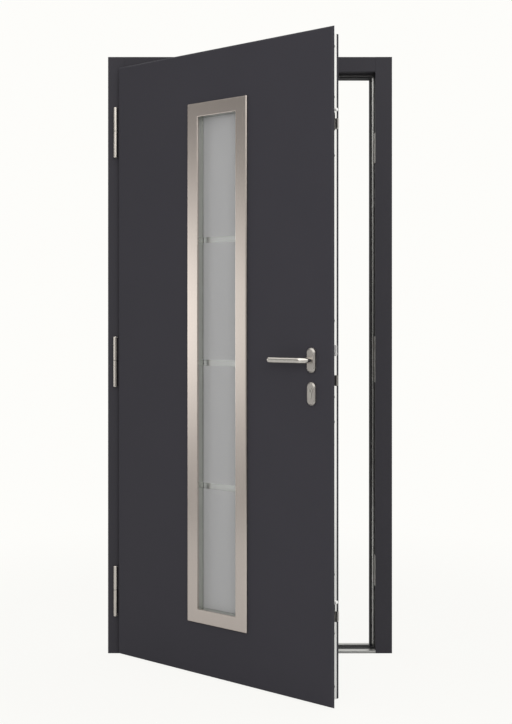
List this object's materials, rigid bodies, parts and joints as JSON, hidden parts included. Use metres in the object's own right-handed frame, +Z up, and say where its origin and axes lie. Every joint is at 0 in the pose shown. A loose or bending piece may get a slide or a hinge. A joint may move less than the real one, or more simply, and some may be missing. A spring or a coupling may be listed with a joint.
{
  "type": "entrance door with glass light",
  "caption": "Hinged rebated entrance door leaf with a tall narrow frosted glass light, lever handles and an edge lock with bolts and hooks, standing ajar in its frame.",
  "frame": {"origin": "underside of the threshold, at the middle of the frame width and of the frame depth", "axes": "+Z up, +X from the hinge jamb to the lock jamb, +Y from the pull side into the wall"},
  "size_m": [1, 0.6671, 2.1],
  "materials": {
    "frame_paint": "fine-textured anthracite powder coat on aluminium",
    "leaf_paint": "fine-textured anthracite powder coat on sheet steel",
    "stainless": "satin brushed stainless steel",
    "bare_aluminium": "natural satin aluminium",
    "seal_rubber": "black cellular rubber",
    "dark_plastic": "black moulded plastic",
    "edge_board": "black-stained laminated edge bar",
    "foam": "rigid insulating foam",
    "frosted_glass": "satin etched glass, the front pane with three clear bands",
    "nickel": "satin nickel plate",
    "zinc_steel": "zinc plated steel"
  },
  "bodies": {
    "frame": {"hinge_jamb": "frame_paint", "lock_jamb": "frame_paint", "head_rail": "frame_paint", "threshold": "bare_aluminium", "threshold_insert": "dark_plastic", "stop_strips": "bare_aluminium", "frame_seal": "seal_rubber", "upper_strike": "stainless", "main_strike": "stainless", "lower_strike": "stainless", "frame_screws": "zinc_steel", "upper_hinge_frame_half": "stainless", "middle_hinge_frame_half": "stainless", "lower_hinge_frame_half": "stainless", "hinge_pins": "zinc_steel", "hinge_bearings": "dark_plastic"},
    "leaf": {"front_skin": "leaf_paint", "rear_skin": "leaf_paint", "foam_core": "foam", "lock_stile": "edge_board", "hinge_stile": "edge_board", "top_rail": "edge_board", "bottom_rail": "edge_board", "bottom_seal": "seal_rubber", "upper_hinge_leaf_half": "stainless", "middle_hinge_leaf_half": "stainless", "lower_hinge_leaf_half": "stainless", "leaf_screws": "zinc_steel", "front_surround": "stainless", "rear_surround": "stainless", "front_pane": "frosted_glass", "rear_pane": "frosted_glass", "pane_spacer": "bare_aluminium", "glazing_gaskets": "seal_rubber", "lock_strip": "stainless", "main_lock_case": "zinc_steel", "upper_lock_case": "zinc_steel", "lower_lock_case": "zinc_steel", "cylinder_body": "nickel", "cylinder_screw": "zinc_steel", "front_rose": "stainless", "rear_rose": "stainless", "front_key_cover": "stainless", "rear_key_cover": "stainless", "handle_bolts": "zinc_steel"},
    "lever_set": {"front_lever": "stainless", "rear_lever": "stainless", "spindle": "zinc_steel", "follower": "zinc_steel"},
    "latch": {"latch_bolt": "nickel"},
    "key_plugs": {"front_plug": "nickel", "rear_plug": "nickel", "cylinder_cam": "zinc_steel"},
    "bolt": {"dead_bolt": "zinc_steel"},
    "upper_rod": {"upper_drive_rod": "zinc_steel"},
    "lower_rod": {"lower_drive_rod": "zinc_steel"},
    "upper_claw": {"upper_hook": "zinc_steel"},
    "lower_claw": {"lower_hook": "zinc_steel"},
    "upper_peg": {"upper_round_bolt": "nickel"},
    "lower_peg": {"lower_round_bolt": "nickel"}
  },
  "joints": [
    {"name": "door_swing", "type": "hinge", "parent": "frame", "child": "leaf", "pos_m": [-0.472, -0.051, 1.031], "axis": [0, 0, -1], "range_deg": [-38.6, 71.4]},
    {"name": "lever_turn", "type": "hinge", "parent": "leaf", "child": "lever_set", "pos_m": [0.21265, -0.5566, 1.05], "axis": [-0.6239, -0.7815, 0], "range_deg": [0, 35], "stiffness_Nm_per_rad": 2, "springref_deg": -28.65},
    {"name": "latch_slide", "type": "slide", "parent": "leaf", "child": "latch", "axis": [-0.7815, 0.6239, 0], "range_m": [0, 0.0131]},
    {"name": "key_turn", "type": "hinge", "parent": "leaf", "child": "key_plugs", "pos_m": [0.21265, -0.5566, 0.958], "axis": [-0.6239, -0.7815, 0], "range_deg": [0, 360.5]},
    {"name": "dead_bolt_slide", "type": "slide", "parent": "leaf", "child": "bolt", "axis": [-0.7815, 0.6239, 0], "range_m": [0, 0.0121]},
    {"name": "upper_rod_slide", "type": "slide", "parent": "leaf", "child": "upper_rod", "axis": [0, 0, -1], "range_m": [0, 0.02]},
    {"name": "lower_rod_slide", "type": "slide", "parent": "leaf", "child": "lower_rod", "axis": [0, 0, 1], "range_m": [0, 0.0201]},
    {"name": "upper_hook_turn", "type": "hinge", "parent": "leaf", "child": "upper_claw", "pos_m": [0.24235, -0.58031, 1.758], "axis": [-0.6239, -0.7815, 0], "range_deg": [0, 90.1]},
    {"name": "lower_hook_turn", "type": "hinge", "parent": "leaf", "child": "lower_claw", "pos_m": [0.24235, -0.58031, 0.265], "axis": [-0.6239, -0.7815, 0], "range_deg": [0, 90.1]},
    {"name": "upper_round_bolt_slide", "type": "slide", "parent": "leaf", "child": "upper_peg", "axis": [-0.7815, 0.6239, 0], "range_m": [0, 0.0121]},
    {"name": "lower_round_bolt_slide", "type": "slide", "parent": "leaf", "child": "lower_peg", "axis": [-0.7815, 0.6239, 0], "range_m": [0, 0.0121]}
  ],
  "couplings": [
    {"joint": "latch_slide", "follows": "lever_turn", "m_per_rad": 0.021281},
    {"joint": "key_turn", "follows": "upper_rod_slide", "rad_per_m": 314.16},
    {"joint": "dead_bolt_slide", "follows": "upper_rod_slide", "ratio": 0.6},
    {"joint": "lower_rod_slide", "follows": "upper_rod_slide", "ratio": 1},
    {"joint": "upper_hook_turn", "follows": "upper_rod_slide", "rad_per_m": 78.54},
    {"joint": "lower_hook_turn", "follows": "upper_rod_slide", "rad_per_m": 78.54},
    {"joint": "upper_round_bolt_slide", "follows": "upper_rod_slide", "ratio": 0.6},
    {"joint": "lower_round_bolt_slide", "follows": "upper_rod_slide", "ratio": 0.6}
  ]
}
